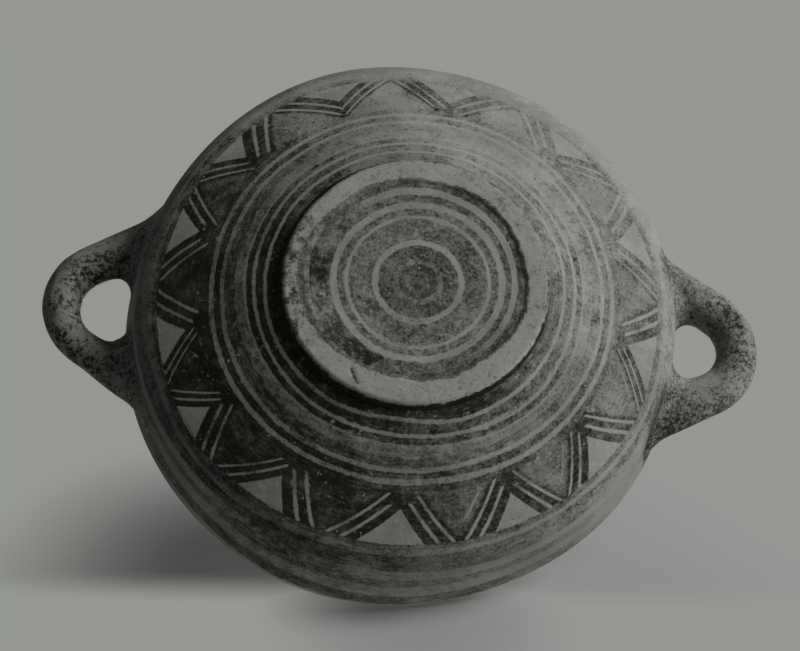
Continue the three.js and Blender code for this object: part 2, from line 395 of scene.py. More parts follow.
# The table that the bowl leans on, tilted to the bowl's frame. It fades up its slope, towards its sides, and
# away from where the rim touches it, but less so behind the bowl.
TABLE_NORMAL = (-0.078, -0.832, -0.549)
TABLE_NEAR = 45.0
TABLE_FAR = 230.0
TABLE_HALF_WIDTH = 300.0
TABLE_PITCH = 0.2
TABLE_STRIP = 0.12
TABLE_SLOPE_FADE = (90, 220)
TABLE_SIDE_FADE = (285.0, 150.0)
TABLE_TOUCH_FADE = (45.0, 8.0)
TABLE_BEHIND = (73.0, 58.0)
TABLE_BEHIND_FADE = (130.0, 60.0, 0.9)

# The floor that it stands on, as rings of a radius and how much they show
STAND_RINGS = [(0.001, 1.0), (270.0, 1.0), (900.0, 0.0)]
STAND_SIDES = 96


def smooth(low, high, value):
    share = np.clip((np.asarray(value, float) - low) / (high - low), 0, 1)
    return share * share * (3 - 2 * share)


def unit(vector):
    vector = np.asarray(vector, float)
    return vector / np.linalg.norm(vector)


def degrees_off(degrees, middle):
    return (np.asarray(degrees) - middle + 180) % 360 - 180


def bell(degrees, middle, half_width):
    """A smooth hump round the bowl: 1 at its middle, 0 from its half width on."""
    away = degrees_off(degrees, middle) / half_width
    return 0.5 + 0.5 * np.cos(np.clip(away, -1, 1) * math.pi)


def hump(degrees, amount, middle, half_width):
    return amount * bell(degrees, middle, half_width)


def by_degrees(rows, degrees):
    """Values round the bowl between rows of degrees and value."""
    return np.interp(degrees, *zip(*rows), period=360)


def by_place(rows, along):
    """Values along a handle between rows of place and value."""
    return np.interp(along, *zip(*rows))


def ripple(seed, angle, along, lobes, waves):
    """Smooth unevenness round and along a surface, mostly between -1 and 1."""
    draw = np.random.default_rng(seed)
    total = np.zeros(np.broadcast(angle, along).shape)
    for _ in range(RIPPLE_WAVES):
        turns = draw.integers(1, lobes + 1)
        pace = draw.uniform(-waves, waves)
        total += np.sin(turns * angle + pace * along + draw.uniform(0, 2 * math.pi))
    return total / math.sqrt(RIPPLE_WAVES)


def ripples(layers, angle, along):
    return sum(amount * ripple(seed, angle, along, lobes, waves) for amount, seed, lobes, waves in layers)


def corner_arc(before, corner, after, bend, step):
    """Points of the arc that rounds one corner of a profile."""
    back = unit(before - corner)
    ahead = unit(after - corner)
    opening = math.acos(back @ ahead)
    sweep = math.pi - opening
    centre = corner + unit(back + ahead) * bend / math.sin(opening / 2)
    start = corner + back * bend / math.tan(opening / 2) - centre
    turn = -math.copysign(1, back[0] * ahead[1] - back[1] * ahead[0])
    angles = turn * sweep * np.linspace(0, 1, math.ceil(bend * sweep / step) + 1)
    across = np.array([-start[1], start[0]])
    return centre + np.outer(np.cos(angles), start) + np.outer(np.sin(angles), across)


def rounded_profile(corners, step):
    """Profile of radius and height through corners of radius, height and bend, in stretches up to a step."""
    points = [np.array(corner[:2], float) for corner in corners]
    line = []
    for i, (_, _, bend) in enumerate(corners):
        if bend:
            line.extend(corner_arc(points[i - 1], points[i], points[(i + 1) % len(points)], bend, step))
        else:
            line.append(points[i])
    fine = [line[0]]
    for start, end in zip(line, line[1:]):
        count = max(1, math.ceil(np.linalg.norm(end - start) / step))
        fine.extend(start + (end - start) * k / count for k in range(1, count + 1))
    return np.array(fine)


def run_along(profile):
    return np.concatenate([[0], np.cumsum(np.linalg.norm(np.diff(profile, axis=0), axis=1))])


def outward(profile):
    """Outward direction at each point of a profile that goes up the outside."""
    way = np.gradient(profile, axis=0)
    way /= np.linalg.norm(way, axis=1)[:, None]
    return np.column_stack([way[:, 1], -way[:, 0]])


def lower_radius(height, set_out=0.0):
    run = (height - FOOT_TOP[1]) / math.tan(LOWER_WALL_RISE)
    return FOOT_TOP[0] + run + set_out / math.sin(LOWER_WALL_RISE)


def upper_radius(height, set_out=0.0):
    return RIM_RADIUS - (HEIGHT - height) * math.tan(UPPER_WALL_LEAN) + set_out / math.cos(UPPER_WALL_LEAN)


def shoulder(set_out=0.0):
    gap = upper_radius(0, set_out) - lower_radius(0, set_out)
    height = gap / (1 / math.tan(LOWER_WALL_RISE) - math.tan(UPPER_WALL_LEAN))
    return upper_radius(height, set_out), height, SHOULDER_BEND + set_out


def round_points(radius, angle, height):
    return np.stack([radius * np.cos(angle), radius * np.sin(angle), height], axis=-1).reshape(-1, 3)


def warp(points):
    """The bowl is a little oval and swells in places. The handles' outer ends stay where they are."""
    angle = np.arctan2(points[:, 1], points[:, 0])
    radius = np.hypot(points[:, 0], points[:, 1])
    share = 1 - smooth(RIM_RADIUS, RIM_RADIUS + HANDLE_REACH, radius)
    scale = 1 + share * OVALITY * np.cos(2 * (angle - OVAL_TURN))
    for middle, half_width, amount, low, high in SWELLS:
        swell = share * amount / RIM_RADIUS * bell(np.degrees(angle), middle, half_width)
        scale = scale + swell * smooth(low, high, points[:, 2])
    return points * np.column_stack([scale, scale, np.ones_like(scale)])


def make_piece(name, points, faces, material):
    mesh = bpy.data.meshes.new(name)
    mesh.from_pydata((np.asarray(points) * MM).tolist(), [], faces)
    mesh.polygons.foreach_set("use_smooth", [True] * len(mesh.polygons))
    mesh.update()
    mesh.materials.append(material)
    piece = bpy.data.objects.new(name, mesh)
    bpy.context.scene.collection.objects.link(piece)
    return piece


def store(piece, name, values, domain="POINT"):
    attribute = piece.data.attributes.new(name, "FLOAT", domain)
    attribute.data.foreach_set("value", np.asarray(values, np.float32).ravel())


def ring_faces(rows, columns):
    """Quads between rows of points, each row closed on itself."""
    row, column = np.meshgrid(np.arange(rows - 1), np.arange(columns), indexing="ij")
    beside = (column + 1) % columns
    corners = [row * columns + column, row * columns + beside]
    corners += [(row + 1) * columns + beside, (row + 1) * columns + column]
    return np.stack(corners, axis=-1).reshape(-1, 4)


class Graph:
    """The nodes of a material or of the world, with short calls for the ones used here."""

    def __init__(self, owner):
        owner.use_nodes = True
        self.owner = owner
        self.tree = owner.node_tree
        self.tree.nodes.clear()

    def put(self, socket, value):
        if isinstance(value, bpy.types.NodeSocket):
            self.tree.links.new(value, socket)
        else:
            socket.default_value = value

    def add(self, kind, *values, **settings):
        """A node with its settings, and with values on its first sockets."""
        node = self.tree.nodes.new("ShaderNode" + kind)
        for key, value in settings.items():
            setattr(node, key, value)
        for socket, value in zip(node.inputs, values):
            self.put(socket, value)
        return node

    def end(self, kind, shader):
        self.put(self.add(kind).inputs["Surface"], shader.outputs[0])
        return self.owner

    def math(self, operation, *values, clamp=False):
        return self.add("Math", *values, operation=operation, use_clamp=clamp).outputs[0]

    def chain(self, operation, values):
        result = values[0]
        for value in values[1:]:
            result = self.math(operation, result, value)
        return result

    def total(self, *values):
        return self.chain("ADD", values)

    def times(self, *values):
        return self.chain("MULTIPLY", values)

    def most(self, *values):
        return self.chain("MAXIMUM", values)

    def less(self, value, taken):
        return self.math("SUBTRACT", value, taken)

    def rest(self, share):
        return self.less(1.0, share)

    def range(self, value, low, high, to_low, to_high, kind="LINEAR"):
        ends = (low, high, to_low, to_high)
        return self.add("MapRange", value, *ends, interpolation_type=kind).outputs[0]

    def step(self, value, low, high, most=1.0):
        return self.range(value, low, high, 0.0, most, "SMOOTHSTEP")

    def tint(self, share, low, high):
        node = self.add("Mix", share, data_type="RGBA")
        for number, colour in ((6, low), (7, high)):
            self.put(node.inputs[number], (*colour, 1) if isinstance(colour, tuple) else colour)
        return node.outputs[2]

    def blend(self, share, low, high):
        node = self.add("Mix", share, data_type="FLOAT")
        self.put(node.inputs[2], low)
        self.put(node.inputs[3], high)
        return node.outputs[0]

    def read(self, name):
        return self.add("Attribute", attribute_name=name).outputs["Fac"]

    def place(self):
        """Position in millimetres."""
        at = self.add("TexCoord").outputs["Object"]
        node = self.add("VectorMath", at, operation="SCALE")
        node.inputs["Scale"].default_value = 1 / MM
        return node.outputs[0]

    def noise(self, place, size, detail, roughness=0.5):
        """Noise from 0 to 1 whose features are about a size across, in millimetres."""
        node = self.add("TexNoise", place)
        node.inputs["Scale"].default_value = 1 / size
        node.inputs["Detail"].default_value = detail
        node.inputs["Roughness"].default_value = roughness
        return node.outputs[0]

    def specks(self, place, grain, limits):
        return self.step(self.noise(place, *grain), *limits)

    def spread(self, noise, amount):
        """Noise moved to lie about 0, as far as an amount each way at most."""
        return self.math("MULTIPLY_ADD", noise, 2 * amount, -amount)

    def sway(self, place, amount, *grain):
        return self.spread(self.noise(place, *grain), amount)

    def split(self, vector):
        return self.add("SeparateXYZ", vector).outputs

    def join(self, *values):
        return self.add("CombineXYZ", *values).outputs[0]


def material_graph(name):
    return Graph(bpy.data.materials.new(name))


def band_ramp(graph, value, low, high, parts, fade):
    """Cover along a value: the parts' own between their ends, and full paint elsewhere."""
    level = low
    covers = []
    for start, end, cover in parts:
        if start > level:
            covers.append((level, start, 1.0))
        covers.append((start, end, cover))
        level = end
    if level < high:
        covers.append((level, high, 1.0))
    stops = [(0.0, covers[0][2])]
    for (_, edge, before), (_, _, after) in zip(covers, covers[1:]):
        stops.append(((edge - fade / 2 - low) / (high - low), before))
        stops.append(((edge + fade / 2 - low) / (high - low), after))
    ramp = graph.add("ValToRGB", graph.range(value, low, high, 0.0, 1.0))
    elements = ramp.color_ramp.elements
    while len(elements) < len(stops):
        elements.new(1.0)
    for element, (position, cover) in zip(elements, stops):
        element.position = position
        element.color = (cover, cover, cover, 1)
    return ramp.outputs[0]


def finish_clay(graph, place, cover, wear_and_sheen=0.0, pale=0.0):
    """Clay with paint worn into specks, from its paint cover and how far that is rubbed off, partly as
    painted sheen.
    """
    fine = graph.noise(place, *FINE)
    blotch = graph.noise(place, *BLOTCH)
    patch = graph.noise(place, *PATCH)
    bared = graph.most(wear_and_sheen, graph.rest(cover))
    uneven = graph.total(*map(graph.spread, (fine, blotch, patch), WEAR_GRAIN))
    uneven = graph.times(uneven, graph.range(bared, 0.0, BARED_FULLY, WHOLE_GRAIN, 1.0))
    mask = graph.step(graph.math("MULTIPLY_ADD", cover, graph.rest(wear_and_sheen), uneven), 0.0, 1.0)

    clay = graph.tint(graph.specks(place, *MOTTLE), CLAY_STAINED, CLAY)
    clay = graph.tint(graph.step(blotch, *PALE), clay, CLAY_PALE)
    if pale:
        clay = graph.tint(pale, clay, CLAY_PALE)
    clay = graph.tint(graph.step(fine, *STAINED), clay, CLAY_STAINED)
    pits = graph.specks(place, *PITS)
    clay = graph.tint(graph.times(pits, PIT_SHARE), clay, PAINT_THIN)

    thick = graph.times(graph.step(cover, *THICK_COVER), graph.step(patch, *THICK_PATCH))
    paint = graph.tint(thick, PAINT_THIN, PAINT)
    paint = graph.tint(graph.step(fine, *THIN), paint, PAINT_THIN)

    shader = graph.add("BsdfPrincipled")
    graph.put(shader.inputs["Base Color"], graph.tint(mask, clay, paint))
    graph.put(shader.inputs["Roughness"], graph.range(mask, 0.0, 1.0, *ROUGHNESS))
    graph.put(shader.inputs["Specular IOR Level"], graph.range(mask, 0.0, 1.0, *GLOSS))
    bump = graph.add("Bump")
    bump.inputs["Strength"].default_value = BUMP_STRENGTH
    bump.inputs["Distance"].default_value = BUMP_DEPTH * MM
    height = graph.math("MULTIPLY_ADD", fine, BUMP_FINE, graph.times(blotch, BUMP_BLOTCH))
    graph.put(bump.inputs["Height"], graph.less(height, graph.times(pits, BUMP_PITS)))
    graph.put(shader.inputs["Normal"], bump.outputs[0])
    return graph.end("OutputMaterial", shader)


def flank_lines(graph, place, flank, up_wall):
    """The light lines beside the triangles, faint or broken in places."""
    ends = graph.read("ends")

    def line(offset, half_width, upper_end, slip):
        across = graph.math("ABSOLUTE", graph.less(flank, offset))
        past_end = graph.less(up_wall, graph.math("MULTIPLY_ADD", ends, slip, upper_end))
        on_line = graph.step(across, half_width + EDGE, half_width - EDGE)
        return graph.times(on_line, graph.step(past_end, -LINE_END_FADE, LINE_END_FADE))

    third = graph.times(line(*THIRD_LINE), graph.read("third"), graph.step(up_wall, *THIRD_LINE_END))
    lines = graph.most(*(line(*row) for row in FLANK_LINES), third)
    whole = graph.range(graph.specks(place, *LINE_GAPS), 0.0, 1.0, LINE_GAPS_LEAST, 1.0)
    # The lines are fainter on the side away from the key lamp, partly as painted shade
    return graph.times(lines, graph.times(whole, graph.read("lines")))


def brush_streaks(graph, place, level):
    """Streaks that the brush left round the bowl."""
    x, y, _ = graph.split(place)
    flat = graph.most(graph.read("flat"), STREAK_LEAST_RADIUS)
    turned = [graph.times(graph.math("DIVIDE", way, flat), STREAK_TURN) for way in (x, y)]
    return graph.sway(graph.join(*turned, level), *BRUSH_STREAKS)


def painted_clay():
    """The bowl's outside: dark paint, light rings, and a row of light triangles with lines beside them."""
    graph = material_graph("painted_clay")
    place = graph.place()
    drift = graph.sway(place, *DRIFT)
    ragged = graph.sway(place, *RAGGED)
    plain_level = graph.read("level")
    level = graph.total(plain_level, drift, ragged)
    up_wall = graph.less(level, WALL_START)
    flank = graph.read("flank")
    flank = graph.total(flank, graph.times(ragged, FLANK_RAGGED), graph.times(drift, FLANK_DRIFT))

    below_base = graph.step(up_wall, BASE_LEVEL + BASE_FADE, BASE_LEVEL - BASE_FADE)
    in_zone = graph.times(below_base, graph.step(up_wall, LOWER_END, LOWER_END + FIELD_FADE))
    light = graph.most(graph.step(flank, EDGE, -EDGE), flank_lines(graph, place, flank, up_wall))
    light = graph.times(light, in_zone)
    start, end = BROKEN_RING
    past_start = graph.step(level, start - BROKEN_RING_FADE, start + BROKEN_RING_FADE)
    before_end = graph.step(level, end + BROKEN_RING_FADE, end - BROKEN_RING_FADE)
    ring = graph.times(past_start, before_end, graph.read("broken"))
    # Rubbed-off paint, partly painted sheen on the side towards the key lamp
    wear_and_sheen = graph.read("wear_and_sheen")
    field = graph.times(graph.step(flank, *FIELD_FROM), in_zone, graph.times(wear_and_sheen, FIELD_WEAR_AND_SHEEN))
    light = graph.most(light, ring, field)

    under = band_ramp(graph, level, 0.0, WALL_START, FLOOR_BANDS, BAND_FADE)
    lower = band_ramp(graph, up_wall, 0.0, LOWER_END, LOWER_BANDS, BAND_FADE)
    upper = band_ramp(graph, up_wall, LOWER_END, UPPER_END, UPPER_BANDS, UPPER_BAND_FADE)
    wall_cover = graph.blend(graph.step(up_wall, LOWER_END - SEAM, LOWER_END + SEAM), lower, upper)
    cover = graph.blend(graph.step(level, WALL_START - SEAM, WALL_START + SEAM), under, wall_cover)
    # Paint kept on light bands, partly painted shade on the side away from the key lamp
    uneven_dim = graph.range(graph.noise(place, *DIM_GRAIN), *DIM_RANGE)
    cover = graph.most(cover, graph.math("MULTIPLY", graph.read("dim_and_shade"), uneven_dim, clamp=True))
    streaks = brush_streaks(graph, place, plain_level)
    cover = graph.total(cover, graph.times(streaks, graph.step(cover, *STREAKED_COVER)))
    chips = graph.times(graph.specks(place, *CHIPS), graph.specks(place, *CHIP_CLUSTERS))
    unchipped = graph.math("MULTIPLY_ADD", chips, -CHIP_DEPTH, 1.0)
    cover = graph.times(cover, graph.rest(light), unchipped, graph.rest(graph.read("inside")))

    stripes = graph.times(graph.step(flank, *STRIPES_FROM), graph.step(flank, *STRIPES_TO), in_zone)
    wear_and_sheen = graph.times(wear_and_sheen, graph.blend(stripes, 1.0, graph.read("stripes_wear_and_sheen")))
    return finish_clay(graph, place, cover, wear_and_sheen)


def half_cells():
    """The two sides of every triangle, each from its middle line out to half way to the next triangle."""
    cells = []
    count = len(TRIANGLES)
    for k, (apex, left, right, top, base) in enumerate(TRIANGLES):
        before = TRIANGLES[k - 1][2] - (360 if k == 0 else 0)
        after = TRIANGLES[(k + 1) % count][1] + (360 if k == count - 1 else 0)
        start = (before + left) / 2
        end = (right + after) / 2
        room = (end - right) * (CLOSE_LINES[1] if k == CLOSE_LINES[0] else 1)
        shared = {"apex": apex, "top": top, "base": base}
        cells.append({"side": -1, "start": start, "end": apex, "foot": left, "room": left - start, **shared})
        cells.append({"side": 1, "start": apex, "end": end, "foot": right, "room": room, **shared})
    return cells


def flank_of(cell, angle, up_wall):
    """Distance out from a triangle's slanting edge, as a share of the room beside it: 0 on the edge."""
    lean = cell["foot"] - cell["apex"]
    edge = cell["apex"] + lean * (up_wall - cell["top"]) / (cell["base"] - cell["top"])
    return cell["side"] * (angle - edge) / cell["room"]


def body_profile():
    """From the middle of the recess up the outside, over the lip and down to the middle of the floor."""
    floor_top = RECESS_DEPTH + FLOOR
    inner = FOOT_RADIUS - FOOT_WIDTH
    return rounded_profile([
        (0, RECESS_DEPTH, 0),
        (RECESS_FLAT, RECESS_DEPTH, 0),
        (inner + RECESS_TUCK, RECESS_EDGE, 0),
        (inner + 2 * RECESS_TUCK, FOOT_HEIGHT, 0),
        (*FOOT_TOP, 0),
        shoulder(),
        (RIM_RADIUS, HEIGHT, LIP_BEND),
        (upper_radius(HEIGHT, -WALL), HEIGHT, LIP_BEND),
        shoulder(-WALL),
        (lower_radius(floor_top, -WALL), floor_top, FLOOR_BEND),
        (0, floor_top, 0),
    ], PROFILE_STEP)


def body_columns(cells):
    """Degrees round the bowl of each column of points, and the number of the cell that it begins."""
    degrees = []
    cell_of = []
    for number, cell in enumerate(cells):
        count = max(LEAST_COLUMNS, round((cell["end"] - cell["start"]) / COLUMN_DEGREES))
        degrees.extend(np.linspace(cell["start"], cell["end"], count, endpoint=False))
        cell_of.extend([number] * count)
    return np.array(degrees), np.array(cell_of)


def body_points(profile, run, lip, degrees):
    """Rows of points round the bowl, then its two middles, under the floor and on it."""
    angle = np.radians(degrees)
    along = run[1:-1, None]
    flat, level = profile[1:-1, 0, None], profile[1:-1, 1, None]
    lift = ripples(SKIN_WOBBLE, angle, along) * smooth(*SKIN_WOBBLE_RADII, flat)
    ridges = np.sin(2 * math.pi * along / WHEEL_PITCH + angle)
    lift = lift + smooth(lip, lip + WHEEL_FADE, along) * WHEEL_RIDGE * ridges
    normal = outward(profile)[1:-1]
    radius = flat + lift * normal[:, 0, None]
    height = level + lift * normal[:, 1, None]
    height = height + ripples(LIP_WOBBLE, angle, 0 * along) * smooth(LIP_WOBBLE_FROM, HEIGHT, level)
    middles = [[0, 0, profile[0, 1]], [0, 0, profile[-1, 1]]]
    return warp(np.vstack([round_points(radius, angle, height), middles]))


def middle_fans(rows, columns):
    """Triangles that close the first and last rows at the two middles."""
    sides = [(k, (k + 1) % columns) for k in range(columns)]
    first, last = rows * columns, rows * columns + 1
    end_row = (rows - 1) * columns
    return [[first, b, a] for a, b in sides] + [[end_row + a, end_row + b, last] for a, b in sides]


def paint_level(degrees, up_wall, flat):
    """Where each place lies in the painted pattern: by radius under the floor, then on up the wall."""
    angle = np.radians(degrees)
    off_centre = 1 - smooth(*RECESS_CENTRE_TO, flat)
    ring_x = flat * np.cos(angle) - RECESS_CENTRE[0] * off_centre
    ring_y = flat * np.sin(angle) - RECESS_CENTRE[1] * off_centre
    base = by_degrees([(row[0], row[4]) for row in TRIANGLES], degrees)
    bases = (BASE_LEVEL - base) * smooth(*BASE_SHIFT_FROM, up_wall) * (1 - smooth(*BASE_SHIFT_TO, up_wall))
    low_slip = by_degrees([(at, low) for at, low, _ in BAND_SLIPS], degrees)
    high_slip = by_degrees([(at, high) for at, _, high in BAND_SLIPS], degrees)
    slip = low_slip + (high_slip - low_slip) * smooth(*BAND_SLIP_TURNS, up_wall)
    wall = WALL_START + up_wall + bases + slip * smooth(*BAND_SLIP_FROM, up_wall)
    near_foot = smooth(*RING_DRIFT_FROM, up_wall) * (1 - smooth(*RING_DRIFT_TO, up_wall))
    wall = wall - RING_DRIFT * np.cos(angle - RING_DRIFT_TURN) * near_foot
    for *side, start, full, end in RING_SLIPS:
        reach = smooth(start, full, up_wall) * (1 - smooth(end, end + RING_SLIP_FADE, up_wall))
        wall = wall - hump(degrees, *side) * reach
    return np.where(up_wall > 0, wall, np.hypot(ring_x, ring_y))


def root_stain(degrees, up_wall):
    """How much paint is kept round the right handle's roots."""
    stain = 0
    for share, middle, half_width, reach in ROOT_STAINS:
        away = np.hypot(degrees_off(degrees, middle) / half_width, (up_wall - ROOT_LEVEL) / reach)
        stain = np.maximum(stain, share * (1 - smooth(*ROOT_STAIN_FADE, away)))
    return stain


def paint_wear_and_sheen(degrees, up_wall, stain):
    """How far the paint is rubbed off, partly painted sheen: more on the side towards the key lamp."""
    low = by_degrees(LOWER_WEAR_AND_SHEEN, degrees)
    high = by_degrees(UPPER_WEAR_AND_SHEEN, degrees) - hump(degrees, *SHELTERED) * smooth(*SHELTERED_FROM, up_wall)
    turning = up_wall - by_degrees(WEAR_AND_SHEEN_TURNS, degrees)
    wear_and_sheen = low + (high - low) * smooth(*UPPER_WEAR_AND_SHEEN_FROM, turning)
    for *side, start, full in EXTRA_WEAR:
        wear_and_sheen = wear_and_sheen + hump(degrees, *side) * smooth(start, full, up_wall)
    # Less wear beside the foot on one side, which darkens the wall there
    by_foot = hump(degrees, *FOOT_SIDE_DARKENING) * (1 - smooth(*FOOT_SIDE_DARKENING_FADE, up_wall))
    return wear_and_sheen * smooth(*LOWER_WEAR_AND_SHEEN_FROM, up_wall) * (1 - stain) * (1 - by_foot)


def least_cover_and_shade(degrees, up_wall, flat, stain):
    """Paint that is kept on light bands too, partly painted shade on the side away from the key lamp."""
    dim_and_shade = stain
    for where, parts in ((up_wall, WALL_DIMS_AND_SHADE), (np.where(up_wall > 0, 0, flat), FLOOR_DIMS_AND_SHADE)):
        for start, end, *side in parts:
            within = smooth(start, start + DIM_FADE, where) * smooth(end, end - DIM_FADE, where)
            dim_and_shade = np.maximum(dim_and_shade, hump(degrees, *side) * within)
    return dim_and_shade


def store_flanks(piece, cells, cell_of, degrees, up_wall, quads):
    """Values that jump from cell to cell, so they are stored by corner: the quads' and then the fans'."""
    columns = len(cell_of)
    fan_corners = 2 * 3 * columns
    quad_cell = np.tile(cell_of, len(quads) // columns)
    corner_degrees = degrees[quads % columns]
    corner_up = up_wall[quads // columns, 0]
    flank = np.empty(quads.shape)
    for number, cell in enumerate(cells):
        mine = quad_cell == number
        turned = cell["start"] + (corner_degrees[mine] - cell["start"]) % 360
        flank[mine] = flank_of(cell, turned, corner_up[mine])
    ends = np.random.default_rng(LINE_END_SEED).uniform(-1, 1, len(cells))
    third = np.zeros(len(cells))
    third[[2 * number + 1 for number in THIRD_LINE_AT]] = THIRD_LINE_SHARE
    for name, values, at_middles in (
        ("flank", flank, FAR_OFF),
        ("ends", np.repeat(ends[quad_cell], 4), 0.0),
        ("third", np.repeat(third[quad_cell], 4), 0.0),
    ):
        store(piece, name, np.concatenate([values.ravel(), np.full(fan_corners, at_middles)]), "CORNER")


def bowl_body(material):
    profile = body_profile()
    run = run_along(profile)
    lip = run[np.argmax(profile[:, 1])]
    foot_top = run[np.argmin(np.linalg.norm(profile - FOOT_TOP, axis=1))]
    cells = half_cells()
    degrees, cell_of = body_columns(cells)
    shape = (len(profile) - 2, len(degrees))
    quads = ring_faces(*shape)
    points = body_points(profile, run, lip, degrees)
    piece = make_piece("bowl_body_clay", points, quads.tolist() + middle_fans(*shape), material)

    along = run[1:-1, None]
    flat = profile[1:-1, 0, None]
    up_wall = along - foot_top
    stain = root_stain(degrees, up_wall)
    for name, values, at_middles in (
        ("level", paint_level(degrees, up_wall, flat), (0.0, run[-1])),
        # Wear, partly painted sheen towards the key lamp
        ("wear_and_sheen", paint_wear_and_sheen(degrees, up_wall, stain), (0.0, 0.0)),
        ("broken", bell(degrees, *BROKEN_RING_STRETCH) ** BROKEN_RING_POWER, (0.0, 0.0)),
        ("inside", smooth(lip - LIP_FADE, lip + LIP_FADE, along), (0.0, 1.0)),
        ("flat", flat, (0.0, 0.0)),
        # Paint kept on light bands, partly painted shade away from the key lamp
        ("dim_and_shade", least_cover_and_shade(degrees, up_wall, flat, stain), (0.0, 0.0)),
        ("stripes_wear_and_sheen", by_degrees(STRIPE_WEAR_AND_SHEEN, degrees), (0.0, 0.0)),
        # Light lines fainter on the side away from the key lamp, partly painted shade
        ("lines", 1 - hump(degrees, *FAINT_AND_SHADED_LINES), (1.0, 1.0)),
    ):
        store(piece, name, np.concatenate([np.broadcast_to(values, shape).ravel(), at_middles]))
    store_flanks(piece, cells, cell_of, degrees, up_wall, quads)
    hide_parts("bowl_body")
    return piece


def foot_clay():
    """The foot: bare rubbed clay where it rests, ragged-edged paint inside and outside it, painted shade on
    the lit corner.
    """
    graph = material_graph("foot_clay")
    place = graph.place()
    x, y, _ = graph.split(place)
    ragged = graph.sway(place, *FOOT_RAGGED)
    across = graph.step(graph.less(x, y), *FOOT_ACROSS)
    inner = graph.step(graph.total(graph.read("from_edge"), ragged), *FOOT_INNER_EDGE)
    inner = graph.times(inner, graph.range(across, 0.0, 1.0, *FOOT_INNER_COVER))
    bare_side = graph.read("bare_side")
    past_side = graph.total(graph.read("from_side"), graph.times(ragged, FOOT_OUTER_RAGGED))
    # The bare side's thin paint also darkens its lit outer face as painted shade
    bare_cover_and_shade = graph.range(bare_side, 0.0, FOOT_BARE_FULL, 1.0, FOOT_BARE_COVER_AND_SHADE)
    outer = graph.times(graph.step(past_side, *FOOT_OUTER_EDGE), bare_cover_and_shade)
    # Painted shade on the outer corner that the key lamp lights
    painted_shade_edge = graph.times(graph.step(past_side, *FOOT_SHADED_EDGE), graph.step(bare_side, *FOOT_SHADED_SIDE))
    stained = graph.times(graph.specks(place, *FOOT_STAINS), graph.step(x, *FOOT_STAINED_END))
    grime = graph.total(*(graph.specks(place, *specks) for specks in FOOT_GRIME))
    cover = graph.most(inner, outer, painted_shade_edge, stained, grime, graph.read("crack"))
    return finish_clay(graph, place, cover, pale=FOOT_PALE)


def distance_to_line(points, line):
    nearest = np.full(len(points), np.inf)
    for start, end in zip(np.array(line), np.array(line[1:])):
        way = end - start
        share = np.clip((points - start) @ way / (way @ way), 0, 1)
        nearest = np.minimum(nearest, np.linalg.norm(points - start - share[:, None] * way, axis=1))
    return nearest


def foot_ring(material):
    inner = FOOT_RADIUS - FOOT_WIDTH
    middle = inner + FOOT_WIDTH / 2
    top = FOOT_HEIGHT + FOOT_SUNK
    profile = rounded_profile([
        (inner - FOOT_INNER_SLOPE, top, 0),
        (inner - FOOT_INNER_SLOPE, RECESS_EDGE + FOOT_SUNK, 0),
        (inner, 0, FOOT_INNER_BEND),
        (FOOT_RADIUS, 0, FOOT_OUTER_BEND),
        (FOOT_RADIUS + FOOT_TAPER, top, 0),
        (inner - FOOT_INNER_SLOPE, top, 0),
    ], FOOT_STEP)[:-1]
    shape = (len(profile), FOOT_COLUMNS)
    run = run_along(profile)[:, None]
    flat, level = profile[:, 0, None], profile[:, 1, None]
    angle = np.linspace(0, 2 * math.pi, FOOT_COLUMNS, endpoint=False)
    degrees = np.degrees(angle)
    low = 1 - smooth(0, top, level)
    inner_edge = smooth(middle, inner, flat)
    outer_edge = smooth(middle, FOOT_RADIUS, flat) * low
    dent = low * ripples(FOOT_DENTS, angle, run)
    shift = ripples(FOOT_EDGE_WANDER, angle, 0 * run)
    for side in FOOT_INNER_SHIFTS:
        shift = shift - hump(degrees, *side)
    radius = flat + dent * outward(profile)[:, 0, None]
    radius = radius + inner_edge * shift - outer_edge * hump(degrees, *FOOT_OUTER_SHIFT)
    points = round_points(radius, angle, level + low * np.abs(dent) * FOOT_DENT_LIFT)
    crack = np.exp(-(distance_to_line(points[:, :2], CRACK) / CRACK_HALF_WIDTH) ** 2)
    crack = crack.reshape(shape) * low
    points[:, 2] += CRACK_DEPTH * crack.ravel()
    faces = ring_faces(shape[0] + 1, FOOT_COLUMNS) % len(points)
    piece = make_piece("foot_ring_clay", warp(points), faces.tolist(), material)
    for name, values in (
        ("crack", crack),
        ("from_edge", flat - inner + (inner_edge - 1) * shift - hump(degrees, *FOOT_PAINT_RUN)),
        ("from_side", flat - FOOT_RADIUS),
        ("bare_side", bell(degrees, *FOOT_BARE_SIDE)),
    ):
        store(piece, name, np.broadcast_to(values, shape))
    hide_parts("foot_ring")
    return piece


def handle_clay():
    """The handles: dark paint rubbed to specks along the coil, darkest at the roots."""
    graph = material_graph("handle_clay")
    place = graph.place()
    flecks = graph.total(graph.sway(place, *HANDLE_FLECKS), graph.sway(place, *HANDLE_STREAKS))
    flecked = graph.times(flecks, graph.read("flecked"))
    cover = graph.total(graph.range(graph.read("root"), 0.0, 1.0, *HANDLE_COVER), flecked)
    return finish_clay(graph, place, cover, graph.read("rubbed"))


